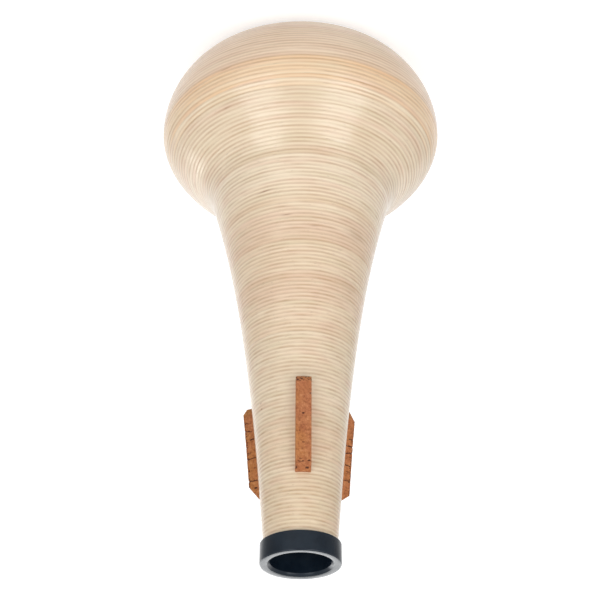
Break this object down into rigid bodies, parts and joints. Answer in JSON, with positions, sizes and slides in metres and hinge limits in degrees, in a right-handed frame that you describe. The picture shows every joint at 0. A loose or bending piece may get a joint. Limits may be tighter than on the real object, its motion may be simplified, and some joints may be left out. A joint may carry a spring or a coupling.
{
  "type": "bass trombone straight mute",
  "caption": "Hollow turned wooden bell, closed at its big end, with a slim open neck, a black collar round the mouth and cork strips along the neck.",
  "frame": {"origin": "centre of the closed end's flat underside, which the mute stands on", "axes": "+Z along the mute's axis, from the closed end to the mouth; -Y is the side of the front cork strip"},
  "size_m": [0.1518, 0.1518, 0.287],
  "materials": {
    "cream_wood": "satin lacquer over pale ringed wood, the palest tone",
    "warm_wood": "satin lacquer over pale ringed wood, warmer",
    "pink_wood": "satin lacquer over pale ringed wood, pinkish",
    "straw_wood": "satin lacquer over pale ringed wood, straw yellow",
    "cork": "natural cork, matt, with dark flecks",
    "black_collar": "satin black"
  },
  "bodies": {
    "root": {"end_board": "pink_wood", "course_01": "pink_wood", "course_02": "pink_wood", "course_03": "straw_wood", "course_04": "cream_wood", "course_05": "cream_wood", "course_06": "cream_wood", "course_07": "warm_wood", "course_08": "pink_wood", "course_09": "warm_wood", "course_10": "pink_wood", "course_11": "warm_wood", "course_12": "cream_wood", "course_13": "cream_wood", "course_14": "cream_wood", "course_15": "warm_wood", "course_16": "cream_wood", "neck_course": "cream_wood", "mouth_collar": "black_collar", "cork_front": "cork", "cork_right": "cork", "cork_left": "cork"}
  },
  "joints": []
}
